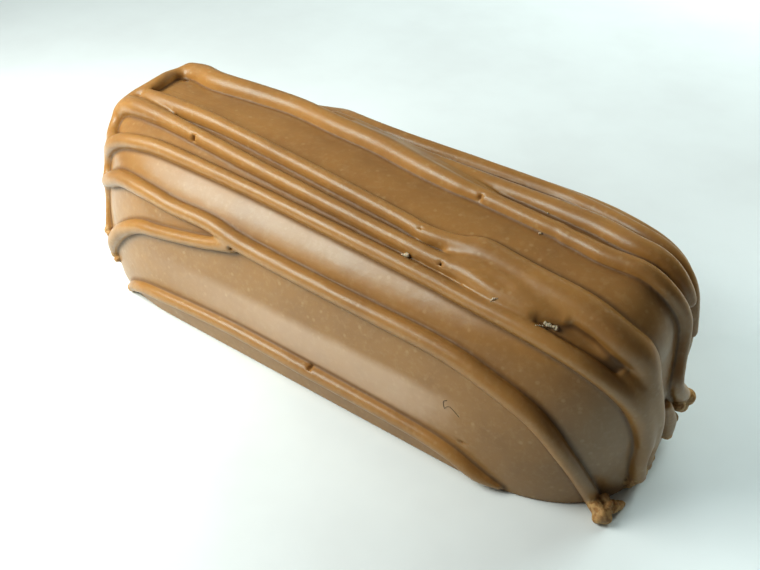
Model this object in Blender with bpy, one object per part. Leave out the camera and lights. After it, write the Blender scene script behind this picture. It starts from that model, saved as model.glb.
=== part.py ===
"""A drizzled praline: one oblong chocolate, made as one solid.

The bar has a flat base, gently bulging sides, a domed top and blunt rounded ends that slant a
little. Strands of the same chocolate run along it, wrap over both ends and run together in places,
and some tore off at the ends. The bar is a loft of level outlines, each strand is a tube laid on
the bar's surface, each torn tip is a few balls, and one union joins them. The origin is at the
middle of the flat base, +X runs along the bar and +Z points up.
"""

import math
from collections import namedtuple

import bmesh
import bpy
from mathutils import Vector
from mathutils.bvhtree import BVHTree

MM = 0.001

# The bar.
LENGTH = 45.0 * MM
WIDTH = 17.9 * MM
HEIGHT = 13.0 * MM
WIDEST_HEIGHT = 2.5 * MM
SIDE_BASE_INSET = 0.16 * MM
END_BASE_INSET = 0.08 * MM
SHOULDER_HEIGHT = 3.4 * MM
SIDE_SHOULDER = 6.0 * MM
END_SHOULDER = 2.4 * MM
CAP_LENGTH = 11.5 * MM
CAP_SQUARENESS = 2.65
END_SLANT = 0.06

# A strand's point farther than this from the bar stays where it is.
FREE_DISTANCE = 1.1 * MM

# The share of its radius that a strand keeps at its two tips, and the least height of its middle.
TIP = 0.7
LOWEST = 1.08

# How finely the bar and the strands are drawn.
CAP_STEPS = 9
WALL_STEPS = 6
SHOULDER_STEPS = 7
STRAND_STEP = 1.25 * MM
BEVEL_RESOLUTION = 2
RELAX_PASSES = 1
LUMP_SUBDIVISIONS = 2

# Tubes and balls of flat facets are drawn this much wider, so that the round strand fits inside.
FACET_ALLOWANCE = 1.06

CHOCOLATE = (0.23, 0.115, 0.05, 1.0)

# A strand's lift is the share of its radius by which its middle stands off the bar, and below zero
# it is sunk in. Its route is written left end first, as places in millimetres with the radius
# there (along, across, up, radius). The places are laid on the bar, so they need only be near it.
Strand = namedtuple("Strand", "lift route")
STRANDS = {
    "low_near": Strand(0.35, [
        (-16.2, -8.4, 0.5, 0.38), (-15.2, -8.7, 1.2, 0.45), (-12.6, -9.1, 2, 0.48),
        (-5.5, -9.1, 2.5, 0.48), (1.8, -9.1, 2.4, 0.53), (9.2, -9.1, 2.2, 0.5),
        (12.6, -9.1, 1.8, 0.5), (14.6, -8.9, 0.9, 0.46), (16.1, -8.6, 0.4, 0.2)]),
    "near_branch": Strand(0.35, [
        (-19.2, -7.2, 1.9, 0.4), (-18.6, -7.7, 3, 0.48), (-17.3, -8.2, 4.6, 0.58),
        (-15.9, -8.4, 5.9, 0.57), (-13.9, -8.5, 7, 0.51), (-11.8, -8.5, 7.4, 0.46),
        (-8, -8.3, 8.1, 0.45), (-5.2, -8.1, 8.8, 0.46)]),
    "near_side": Strand(0.35, [
        (-19.9, -6.9, 3.7, 0.42), (-20.2, -6.6, 4.6, 0.34), (-20.4, -6.2, 6, 0.3),
        (-20.1, -6.1, 7.2, 0.42), (-18.3, -6.9, 8.5, 0.6), (-16.8, -7.2, 9.3, 0.62),
        (-15.4, -7.4, 9.6, 0.6), (-13, -7.7, 9.7, 0.57), (-10.5, -7.9, 9.6, 0.54),
        (-7.3, -7.8, 9.6, 0.55), (-3.8, -8, 9.2, 0.58), (3.5, -8.1, 8.9, 0.58),
        (10.8, -8.2, 8.7, 0.61), (14.2, -8.3, 8.1, 0.62), (17.4, -8.1, 6.7, 0.62),
        (19.7, -7.5, 3.9, 0.52), (20.8, -6.6, 1.4, 0.5), (21.4, -6.7, 0.6, 0.5),
        (22, -7, 0.5, 0.46)]),
    "near_shoulder": Strand(0.35, [
        (-20.2, -6, 7.4, 0.42), (-20.5, -5.5, 8.4, 0.42), (-20.2, -5.3, 9.4, 0.48),
        (-19, -5.6, 10.5, 0.54), (-17.9, -5.6, 11.2, 0.59), (-16, -5.6, 11.7, 0.58),
        (-13.1, -5.5, 11.9, 0.55), (-5.9, -5.6, 11.8, 0.49), (1.3, -5.9, 11.7, 0.49),
        (8.5, -6.2, 11.5, 0.5), (12, -6.4, 11.3, 0.5), (15.7, -6.5, 11.1, 0.56),
        (19.1, -6.2, 10.2, 0.58), (21.4, -4.9, 7.8, 0.56), (22.4, -3.9, 4.7, 0.58),
        (22.4, -3.9, 2.6, 0.56), (22.3, -3.5, 1.2, 0.55)]),
    "near_top": Strand(0.35, [
        (-19.2, -5.3, 10.7, 0.5), (-20.3, -4.7, 10.6, 0.52), (-20.9, -3.9, 11.1, 0.58),
        (-20.7, -3.2, 11.7, 0.68), (-19.9, -3, 12.3, 0.74), (-18.6, -3.2, 12.7, 0.75),
        (-17.2, -3.3, 12.8, 0.68), (-13.7, -3.5, 12.7, 0.58), (-6.5, -4.1, 12.5, 0.54),
        (0.9, -4.6, 12.3, 0.5), (8.2, -5.1, 12.1, 0.52), (11.1, -5.3, 12.1, 0.6),
        (13.3, -5.6, 11.8, 0.56), (15.2, -5.7, 11.6, 0.4)]),
    "middle_top": Strand(0.35, [
        (-18.5, -2, 13, 0.6), (-15.8, -2, 13.1, 0.65), (-12.9, -2, 13.1, 0.62),
        (-9.4, -2.2, 13, 0.54), (-2, -2.9, 12.9, 0.52), (5, -3.6, 12.7, 0.5),
        (7.3, -3.9, 12.6, 0.53), (9, -3.8, 12.6, 0.52), (11, -3.7, 12.5, 0.5)]),
    "sheet": Strand(-0.2, [
        (8.6, -3.8, 12.4, 0.45), (9.6, -3.6, 12.3, 0.74), (10.7, -3.4, 12.3, 0.98),
        (12.8, -3.7, 12.2, 1.04), (14.9, -4, 12.1, 1.1), (17.5, -4.1, 11.9, 1.06),
        (20, -4.1, 11, 1.02), (21, -3.6, 10, 1.02), (21.5, -3.5, 8.6, 0.98),
        (21.9, -3.2, 6.8, 0.95), (22.2, -2.8, 5, 0.9), (22.3, -2.6, 3.6, 0.74),
        (22.4, -2.5, 2, 0.56), (22.4, -2.3, 1, 0.5)]),
    "puddle": Strand(-0.3, [
        (9.4, -4.4, 12.1, 0.5), (10.6, -4.6, 12, 0.95), (12.4, -4.9, 11.9, 1.15),
        (14, -5, 11.8, 1.15), (15.6, -5.1, 11.7, 0.9), (17, -5, 11.5, 0.45)]),
    "web": Strand(0.1, [
        (19.9, -5.1, 10.4, 0.2), (20.5, -5, 9.8, 0.4), (21, -4.7, 9, 0.62),
        (21.6, -4.2, 7.6, 0.72), (22.1, -3.7, 5.6, 0.64), (22.3, -3.4, 3.6, 0.5)]),
    "rim": Strand(0.35, [
        (-20.7, -3, 11.6, 0.66), (-20.1, -2.3, 12.5, 0.66), (-19.4, -1.4, 13, 0.62),
        (-19.4, 0, 13.1, 0.59), (-19.9, 1.4, 12.9, 0.6), (-19.8, 2.4, 13, 0.68),
        (-19.3, 3, 12.9, 0.8)]),
    "far_top": Strand(0.35, [
        (-19.3, 3, 12.9, 0.84), (-17.8, 2.9, 12.9, 0.9), (-15.8, 2.5, 13.1, 0.89),
        (-12.1, 2.9, 13, 0.87), (-8.5, 3.1, 12.9, 0.84), (-4.4, 2.5, 13, 0.81),
        (-0.6, 2.1, 13.1, 0.78), (3.2, 1.3, 13.2, 0.72), (6.5, 0.8, 13.2, 0.63),
        (8.1, 0.7, 13.2, 0.56), (14.2, 0, 13.2, 0.54), (17.3, -0.5, 13.2, 0.58),
        (20.4, -0.2, 12.5, 0.56), (21.9, 0.6, 10, 0.5), (22.3, 0.2, 8, 0.44),
        (22.6, -0.3, 6.4, 0.5), (22.8, 0.4, 5.2, 0.58), (22.9, 1.3, 4.2, 0.62),
        (22.9, 2.1, 3.3, 0.6)]),
    "end_drip": Strand(0.35, [
        (22.6, -1.3, 5.2, 0.36), (22.7, -0.7, 4.1, 0.45), (22.7, -0.2, 3.1, 0.5),
        (22.7, 0.1, 2, 0.46)]),
    "far_band": Strand(0.2, [
        (-6.9, 5, 12, 0.45), (-3.9, 4.2, 12.5, 0.57), (0.4, 3.1, 12.8, 0.61),
        (3.7, 2.8, 12.9, 0.6), (9.8, 2.6, 12.9, 0.63), (12.7, 2.4, 13, 0.71),
        (15.5, 2.1, 13.1, 0.76), (18.2, 1.5, 13.1, 0.71), (20.8, 1.8, 11.8, 0.6),
        (21.4, 2.1, 10.4, 0.5)]),
    "far_filler": Strand(0.1, [
        (-4.2, 3.4, 12.8, 0.66), (-0.5, 2.6, 12.9, 0.72), (3.5, 2, 13, 0.68),
        (6.5, 1.7, 13, 0.48), (9.2, 1.6, 13, 0.15)]),
    "far_shoulder": Strand(0.35, [
        (-20.6, 5.6, 7.5, 0.5), (-19, 7, 9, 0.55), (-13, 7.7, 9.6, 0.58), (-9, 7.2, 10.4, 0.6),
        (-5.2, 5.6, 11.8, 0.6), (-0.8, 5, 12.2, 0.6), (5.2, 5.4, 12, 0.58), (11, 5.5, 11.9, 0.56),
        (14.2, 4.7, 12.3, 0.54), (17.3, 3.7, 12.6, 0.53), (20.2, 3.3, 11.7, 0.52),
        (21.4, 3.2, 10, 0.5), (22, 3.1, 7.6, 0.44)]),
    "far_edge": Strand(0.35, [
        (-20.4, 6.6, 4.5, 0.48), (-18.2, 8, 6.6, 0.56), (-11, 8.3, 7.8, 0.6), (-3, 7.9, 9.3, 0.6),
        (4, 7.2, 10.6, 0.58), (10.9, 6.5, 11.2, 0.55), (13.9, 5.8, 11.6, 0.53),
        (17.1, 4.7, 12.1, 0.5), (19.6, 4.3, 11.2, 0.48), (21, 4.3, 9, 0.46),
        (21.6, 4.8, 6.4, 0.44), (21.4, 5.2, 4, 0.42)]),
    "far_side": Strand(0.35, [
        (-20, 7.2, 1, 0.44), (-17.6, 8.4, 3.6, 0.54), (-12, 8.8, 5.4, 0.56), (-2, 8.7, 6.2, 0.58),
        (8, 8.4, 7.2, 0.58), (15, 7.9, 7.4, 0.58), (18.6, 7, 5.6, 0.56), (20.2, 6.2, 1.8, 0.46)]),
    "low_far": Strand(0.35, [
        (-13, 8.8, 0.8, 0.4), (-9, 9, 2.4, 0.5), (2, 9, 3, 0.52), (11, 8.9, 2.4, 0.5),
        (14.6, 8.6, 0.7, 0.4)]),
}

# Where a strand's end tore off, a few lumps stay (along, across, up, radius, in millimetres).
TORN_TIPS = [
    (21.5, -6.6, 0.75, 0.52), (21.9, -6.9, 0.6, 0.52), (22.2, -6.1, 0.6, 0.42),
    (22.4, -5.7, 0.42, 0.34), (22.3, -3.9, 0.95, 0.42), (22.5, -2.9, 0.9, 0.42),
    (22.9, 2.0, 3.5, 0.56), (22.9, 2.4, 3.0, 0.46), (22.8, 0.9, 3.6, 0.42),
    (22.7, 0.2, 1.6, 0.38), (-19.1, -7.3, 1.7, 0.36), (-19.8, -7.0, 3.4, 0.36),
]


def clear_scene():
    for obj in list(bpy.data.objects):
        bpy.data.objects.remove(obj, do_unlink=True)


def inset(height, base_inset, shoulder):
    """How far a wall stands in from its widest level, at this height."""
    barrel = base_inset * ((height - WIDEST_HEIGHT) / WIDEST_HEIGHT) ** 2
    climb = max(0.0, (height - HEIGHT + SHOULDER_HEIGHT) / SHOULDER_HEIGHT)
    return barrel + shoulder * (1.0 - math.sqrt(max(0.0, 1.0 - climb * climb)))


def outline(height):
    """The bar's outline at this height: straight sides between squarish round ends."""
    half_length = LENGTH / 2 - inset(height, END_BASE_INSET, END_SHOULDER)
    half_width = WIDTH / 2 - inset(height, SIDE_BASE_INSET, SIDE_SHOULDER)
    cap = min(CAP_LENGTH, 1.5 * half_width)
    power = 2.0 / CAP_SQUARENESS
    points = []
    for step in range(4 * CAP_STEPS):
        angle = math.radians(90.0 * (step + 0.5) / CAP_STEPS)
        along = math.copysign(abs(math.cos(angle)) ** power, math.cos(angle))
        across = half_width * math.copysign(abs(math.sin(angle)) ** power, math.sin(angle))
        middle = math.copysign(half_length - cap, along)
        points.append(Vector((middle + cap * along - END_SLANT * across, across, height)))
    return points


def levels():
    """The heights of the outlines: even on the wall, crowding towards the top of the shoulder."""
    wall_top = HEIGHT - SHOULDER_HEIGHT
    heights = [wall_top * step / WALL_STEPS for step in range(WALL_STEPS)]
    for step in range(SHOULDER_STEPS + 1):
        heights.append(wall_top + SHOULDER_HEIGHT * math.sin(math.radians(90.0 * step / SHOULDER_STEPS)))
    return heights


def make_bar(name, collection):
    """The bar, as a loft through its outlines with a flat base and a flat patch on top."""
    mesh_maker = bmesh.new()
    rings = []
    for height in levels():
        rings.append([mesh_maker.verts.new(point) for point in outline(height)])
    count = len(rings[0])
    for lower, upper in zip(rings, rings[1:]):
        for index in range(count):
            after = (index + 1) % count
            mesh_maker.faces.new((lower[index], lower[after], upper[after], upper[index]))
    mesh_maker.faces.new(list(reversed(rings[0])))
    mesh_maker.faces.new(rings[-1])
    mesh = bpy.data.meshes.new(name)
    mesh_maker.to_mesh(mesh)
    mesh_maker.free()
    bar = bpy.data.objects.new(name, mesh)
    collection.objects.link(bar)
    return bar


def smooth_route(places):
    """Samples about a step apart on a Catmull-Rom curve through the places, radius included."""
    ends = [places[0] * 2 - places[1]] + places + [places[-1] * 2 - places[-2]]
    samples = []
    for before, start, end, after in zip(ends, ends[1:], ends[2:], ends[3:]):
        count = max(1, round((end - start).length / STRAND_STEP))
        for index in range(count):
            t = index / count
            samples.append(0.5 * (2 * start + (end - before) * t
                                  + (2 * before - 5 * start + 4 * end - after) * t * t
                                  + (3 * start - before - 3 * end + after) * t ** 3))
    samples.append(places[-1])
    return samples


def lay_on(surface, sample, lift):
    """The sample's middle, standing off the nearest place of the bar by the lift. A tip that is
    clear of the bar, as where it lies on the table, stays where it is. None goes under the table."""
    point, radius = sample.xyz, sample.w
    found, normal, _, distance = surface.find_nearest(point)
    laid = found + normal * radius * lift if distance < FREE_DISTANCE else point
    laid.z = max(laid.z, LOWEST * radius)
    return laid


def relaxed(places):
    """The places with small jumps between the bar's facets evened out, the two ends kept."""
    for _ in range(RELAX_PASSES):
        inner = [(a + 2 * b + c) / 4 for a, b, c in zip(places, places[1:], places[2:])]
        places = [places[0], *inner, places[-1]]
    return places


def make_strand(name, strand, surface, collection):
    """One strand: a tube along its route on the bar, narrower at both tips."""
    samples = smooth_route([Vector(place) * MM for place in strand.route])
    places = relaxed([lay_on(surface, sample, strand.lift) for sample in samples])
    curve = bpy.data.curves.new(name, "CURVE")
    curve.dimensions = "3D"
    curve.bevel_depth = MM
    curve.bevel_resolution = BEVEL_RESOLUTION
    curve.use_fill_caps = True
    spline = curve.splines.new("POLY")
    spline.points.add(len(places) - 1)
    for knot, place, sample in zip(spline.points, places, samples):
        knot.co = (*place, 1.0)
        knot.radius = FACET_ALLOWANCE * sample.w / MM
    spline.points[0].radius *= TIP
    spline.points[-1].radius *= TIP
    tube = bpy.data.objects.new(name, curve)
    collection.objects.link(tube)
    return tube


def make_lump(name, lump, collection):
    """One lump of a torn tip: a ball."""
    mesh_maker = bmesh.new()
    radius = FACET_ALLOWANCE * lump[3] * MM
    bmesh.ops.create_icosphere(mesh_maker, subdivisions=LUMP_SUBDIVISIONS, radius=radius)
    bmesh.ops.translate(mesh_maker, vec=Vector(lump[:3]) * MM, verts=mesh_maker.verts)
    mesh = bpy.data.meshes.new(name)
    mesh_maker.to_mesh(mesh)
    mesh_maker.free()
    ball = bpy.data.objects.new(name, mesh)
    collection.objects.link(ball)


def as_mesh(curve_object, collection):
    """The curve object as a mesh object of the same name, its caps welded on."""
    name = curve_object.name
    graph = bpy.context.evaluated_depsgraph_get()
    mesh = bpy.data.meshes.new_from_object(curve_object.evaluated_get(graph))
    mesh_maker = bmesh.new()
    mesh_maker.from_mesh(mesh)
    bmesh.ops.remove_doubles(mesh_maker, verts=mesh_maker.verts, dist=0.001 * MM)
    bmesh.ops.recalc_face_normals(mesh_maker, faces=mesh_maker.faces)
    mesh_maker.to_mesh(mesh)
    mesh_maker.free()
    matrix = curve_object.matrix_world.copy()
    bpy.data.objects.remove(curve_object, do_unlink=True)
    strand = bpy.data.objects.new(name, mesh)
    strand.matrix_world = matrix
    collection.objects.link(strand)
    return strand


def shells(mesh_maker):
    """The mesh's separate shells, as lists of faces."""
    waiting = set(mesh_maker.faces)
    found = []
    while waiting:
        stack = [waiting.pop()]
        shell = []
        while stack:
            face = stack.pop()
            shell.append(face)
            for edge in (edge for edge in face.edges if edge.is_manifold):
                for other in edge.link_faces:
                    if other in waiting:
                        waiting.remove(other)
                        stack.append(other)
        found.append(shell)
    return found


def keep_largest_shell(mesh):
    """Drops sealed hollows and loose scraps that fusing leaves."""
    mesh_maker = bmesh.new()
    mesh_maker.from_mesh(mesh)
    found = sorted(shells(mesh_maker), key=len)
    spare = [face for shell in found[:-1] for face in shell]
    print("shells:", len(found), [len(shell) for shell in found[-6:]])
    bmesh.ops.delete(mesh_maker, geom=spare, context="FACES")
    mesh_maker.to_mesh(mesh)
    mesh_maker.free()


def fuse(bar, collection):
    """Joins the collection's strands to the bar with one union, then removes them."""
    union = bar.modifiers.new("strands", "BOOLEAN")
    union.operation = "UNION"
    union.solver = "MANIFOLD"
    union.operand_type = "COLLECTION"
    union.collection = collection
    graph = bpy.context.evaluated_depsgraph_get()
    fused = bpy.data.meshes.new_from_object(bar.evaluated_get(graph))
    bar.modifiers.clear()
    bar.data = fused
    for strand in list(collection.objects):
        bpy.data.objects.remove(strand, do_unlink=True)
    bpy.data.collections.remove(collection)
    keep_largest_shell(fused)


def chocolate():
    material = bpy.data.materials.new("milk_chocolate")
    material.use_nodes = True
    shader = material.node_tree.nodes["Principled BSDF"]
    shader.inputs["Base Color"].default_value = CHOCOLATE
    shader.inputs["Roughness"].default_value = 0.4
    shader.inputs["Metallic"].default_value = 0.0
    return material


def main():
    clear_scene()
    parts = bpy.data.collections.new("praline")
    drizzle = bpy.data.collections.new("drizzle")
    bpy.context.scene.collection.children.link(parts)
    bpy.context.scene.collection.children.link(drizzle)
    bar = make_bar("praline", parts)
    surface = BVHTree.FromObject(bar, bpy.context.evaluated_depsgraph_get())
    for name, strand in STRANDS.items():
        as_mesh(make_strand(name, strand, surface, drizzle), drizzle)
    for number, lump in enumerate(TORN_TIPS, 1):
        make_lump(f"lump_{number}", lump, drizzle)
    fuse(bar, drizzle)
    bar.data.materials.clear()
    bar.data.materials.append(chocolate())
    bar.data.shade_smooth()
    bar.data.set_sharp_from_angle(angle=math.radians(40.0))
    size = [round(side / MM, 2) for side in bar.dimensions]
    print("praline:", size, "mm,", sum(len(face.vertices) - 2 for face in bar.data.polygons), "triangles")


main()
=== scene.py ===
# %% [markdown]
# # A drizzled praline
# A praline of this kind is a soft centre that was dipped in milk chocolate, set on a belt, and then
# drizzled: thin strands of the same chocolate fell on it from a comb of nozzles while it moved by.
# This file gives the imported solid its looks. It builds one finely shaped, closed mesh in place of
# the plain solid, then the chocolate's finish, a few crumbs, a floor, the light and the camera.
#
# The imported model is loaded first, because it fixes the size and the place of everything here.

# %% The frame
import math

import bmesh
import bpy
import numpy as np
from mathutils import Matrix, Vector
from mathutils import noise as solid_noise
from mathutils.bvhtree import BVHTree


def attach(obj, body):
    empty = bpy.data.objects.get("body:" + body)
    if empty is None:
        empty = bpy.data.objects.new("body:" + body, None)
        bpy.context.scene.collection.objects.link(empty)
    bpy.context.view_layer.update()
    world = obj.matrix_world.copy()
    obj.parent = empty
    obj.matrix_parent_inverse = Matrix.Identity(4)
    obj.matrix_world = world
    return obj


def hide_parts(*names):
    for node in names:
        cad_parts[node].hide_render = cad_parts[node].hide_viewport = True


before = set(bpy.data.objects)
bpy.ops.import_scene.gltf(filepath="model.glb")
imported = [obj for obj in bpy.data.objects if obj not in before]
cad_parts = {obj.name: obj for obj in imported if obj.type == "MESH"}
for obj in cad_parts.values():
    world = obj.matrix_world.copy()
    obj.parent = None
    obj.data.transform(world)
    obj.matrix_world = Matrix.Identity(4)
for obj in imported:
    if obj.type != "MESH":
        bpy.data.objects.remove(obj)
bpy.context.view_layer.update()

MM = 0.001


def in_mm(vector):
    """A place or a size in metres, as rounded millimetres."""
    return [round(value / MM, 2) for value in vector]


def placed(name, data):
    """A new object with this data, put in the scene."""
    made = bpy.data.objects.new(name, data)
    bpy.context.scene.collection.objects.link(made)
    return made


# %% [markdown]
# ## The camera
# The photograph was taken close up: the near end of the sweet looks clearly larger than the far
# end. A camera can be placed by eye, or worked out from the outline of a shape whose size is known.
# Here the second way was used, and its answer is written as four plain numbers: the point on the
# table that the camera looks at, its direction, its height angle and its distance.

# %% The camera
LOOK_AT = Vector((-1.52, 3.30, 0.0)) * MM
AZIMUTH = math.radians(36.2)
ELEVATION = math.radians(38.4)
DISTANCE = 71.6 * MM
LENS = 44.0
SENSOR_WIDTH = 36.0
NEAR_LIMIT = 5.0 * MM

back = Vector((
    math.sin(AZIMUTH) * math.cos(ELEVATION),
    -math.cos(AZIMUTH) * math.cos(ELEVATION),
    math.sin(ELEVATION),
))
camera = placed("camera", bpy.data.cameras.new("camera"))
camera.data.lens = LENS
camera.data.sensor_width = SENSOR_WIDTH
camera.data.clip_start = NEAR_LIMIT
camera.location = LOOK_AT + back * DISTANCE
camera.rotation_euler = (-back).to_track_quat("-Z", "Y").to_euler()
bpy.context.scene.camera = camera
print("camera at, in mm:", in_mm(camera.location))

# %% [markdown]
# ## The bar's skin
# Under the drizzle is an oblong bar with a flat base, gently bulging sides, a rounded top and
# squarish round ends. Its outline at any height follows one rule, the same one as the solid's, so
# it needs no long list of points. The skin is wanted as a dense cloud of points, each with the
# direction that faces outwards: the nearest one then tells how far any place is from the surface,
# and on which side of it. The walls go on a little below the base, which is cut flat later.

# %% The bar's skin
LENGTH = 45.0
WIDTH = 17.9
HEIGHT = 13.0
WIDEST_HEIGHT = 2.5
SIDE_BASE_INSET = 0.16
END_BASE_INSET = 0.08
SHOULDER_HEIGHT = 3.4
SIDE_SHOULDER = 6.0
END_SHOULDER = 2.4
CAP_LENGTH = 11.5
CAP_SQUARENESS = 2.65
END_SLANT = 0.06
CAP_TO_HALF_WIDTH = 1.5
ANGLE_STEPS = 720


def inset(height, base_inset, shoulder):
    """How far a wall stands in from its widest level, at this height, in millimetres."""
    barrel = base_inset * ((height - WIDEST_HEIGHT) / WIDEST_HEIGHT) ** 2
    climb = min(1.0, max(0.0, (height - HEIGHT + SHOULDER_HEIGHT) / SHOULDER_HEIGHT))
    return barrel + shoulder * (1.0 - math.sqrt(1.0 - climb * climb))


def outline(height, count):
    """The bar's outline at this height, as points spaced evenly along it, in millimetres."""
    half_length = LENGTH / 2 - inset(height, END_BASE_INSET, END_SHOULDER)
    half_width = WIDTH / 2 - inset(height, SIDE_BASE_INSET, SIDE_SHOULDER)
    cap = min(CAP_LENGTH, CAP_TO_HALF_WIDTH * half_width)
    power = 2.0 / CAP_SQUARENESS
    angle = np.linspace(0.0, 2.0 * np.pi, ANGLE_STEPS + 1)
    along = np.sign(np.cos(angle)) * np.abs(np.cos(angle)) ** power
    across = half_width * np.sign(np.sin(angle)) * np.abs(np.sin(angle)) ** power
    x = np.sign(along) * (half_length - cap) + cap * along - END_SLANT * across
    travelled = np.concatenate([[0.0], np.cumsum(np.hypot(np.diff(x), np.diff(across)))])
    even = np.linspace(0.0, travelled[-1], count, endpoint=False)
    x, y = np.interp(even, travelled, x), np.interp(even, travelled, across)
    return np.stack([x, y, np.full(count, height)], axis=-1)


def skin_rings(around, wall_steps, shoulder_steps, lowest):
    """The skin as rings of points, from the lowest height to the top."""
    wall_top = HEIGHT - SHOULDER_HEIGHT
    heights = list(np.linspace(lowest, wall_top, wall_steps, endpoint=False))
    for turn in np.linspace(0.0, math.pi / 2, shoulder_steps):
        heights.append(wall_top + SHOULDER_HEIGHT * math.sin(turn))
    return np.array([outline(height, around) for height in heights])


def outward(rings):
    """Each point's outward direction, from the way to its neighbours along and up the skin."""
    along = np.roll(rings, -1, axis=1) - np.roll(rings, 1, axis=1)
    up = np.gradient(rings, axis=0)
    across = np.cross(along, up)
    return across / np.linalg.norm(across, axis=-1, keepdims=True)


rings = skin_rings(around=1400, wall_steps=150, shoulder_steps=110, lowest=-1.0)
facing = outward(rings)
print("skin points:", rings.shape[0] * rings.shape[1], "highest:", rings[..., 2].max())

# %% [markdown]
# A point cloud can be a mesh that has only vertices. Numbers that belong to the points, such as
# their directions, go with them as attributes, and Geometry Nodes read those by name.
# A strand or a lump is a cloud too: each of its points is the middle of a ball, with a thickness
# that says how large the ball is.


# %% A cloud of points with attributes
def point_cloud(name, points, **attributes):
    """A helper object of loose vertices, in metres, with an attribute for each keyword."""
    mesh = bpy.data.meshes.new(name)
    mesh.vertices.add(len(points))
    mesh.vertices.foreach_set("co", (np.asarray(points) * MM).astype(np.float32).ravel())
    for key, values in attributes.items():
        values = np.asarray(values, dtype=np.float32)
        is_vector = values.ndim == 2
        layer = mesh.attributes.new(key, "FLOAT_VECTOR" if is_vector else "FLOAT", "POINT")
        layer.data.foreach_set("vector" if is_vector else "value", values.ravel())
    return placed(name, mesh)


def ball_cloud(name, balls):
    """A point cloud of balls, each (along, across, up, radius) in millimetres."""
    balls = np.asarray(balls)
    return point_cloud(name, balls[:, :3], thickness=balls[:, 3] * MM)


clouds = {"skin": point_cloud("skin", rings.reshape(-1, 3), facing=facing.reshape(-1, 3))}
print("skin object:", len(clouds["skin"].data.vertices), "points")

# %% [markdown]
# ## The drizzle
# Each strand left its nozzle as one thread and lay down where it fell. It is nearly round, about
# 1.2 mm thick, and sunk by a third where it touched the warm bar. A strand is written as the route
# of its middle, left end first: a few places in millimetres (along, across, up) with the strand's
# radius there. A smooth curve goes through the places, and each of its points is then laid on the
# bar, so the numbers need only be near the surface.
#
# Strands that run into each other are kept in different lanes. Distances within a lane need no
# blending, and between lanes they are blended, which pulls two touching strands together as
# warm chocolate does.

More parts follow.
